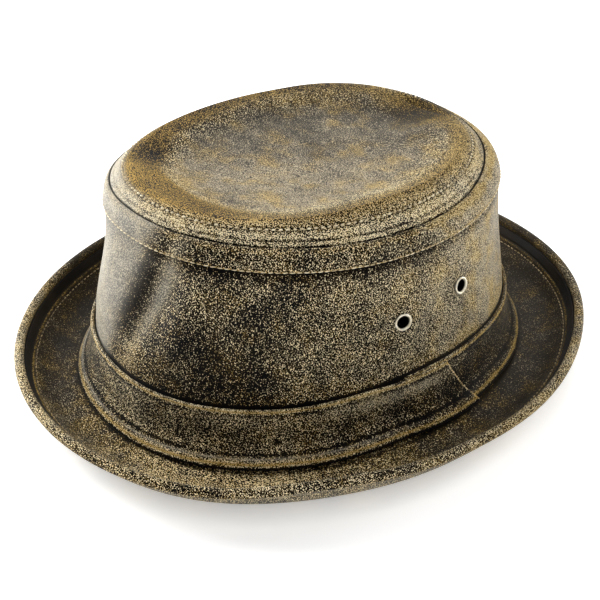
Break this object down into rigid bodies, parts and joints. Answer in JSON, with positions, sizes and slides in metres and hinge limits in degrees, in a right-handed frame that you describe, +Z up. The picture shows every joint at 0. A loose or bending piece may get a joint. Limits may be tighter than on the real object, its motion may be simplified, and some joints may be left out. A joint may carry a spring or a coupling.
{
  "type": "leather porkpie hat",
  "caption": "Leather porkpie hat with a dished oval tip, a tapered crown wall, a flared hat band and a brim that curls up all round to a rolled edge.",
  "frame": {"origin": "on the surface that the brim rests on, under the middle of the hat", "axes": "+Z up through the crown, -Y towards the front of the hat, +X towards the wearer's left"},
  "size_m": [0.2587, 0.2951, 0.1122],
  "materials": {
    "tip_leather": "distressed, fine tan speckle over dark olive brown",
    "wall_leather": "distressed, fine tan speckle over near black, soft grey sheen",
    "band_leather": "distressed, dark face, worn tan edges",
    "brim_leather": "smooth, mottled dark brown",
    "under_leather": "distressed, coarse tan speckle",
    "eyelet_metal": "pale nickel, slightly worn"
  },
  "bodies": {
    "root": {"crown_tip": "tip_leather", "crown_wall": "wall_leather", "hat_band": "band_leather", "brim_upper": "brim_leather", "brim_under": "under_leather", "eyelet_front": "eyelet_metal", "eyelet_back": "eyelet_metal"}
  },
  "joints": []
}
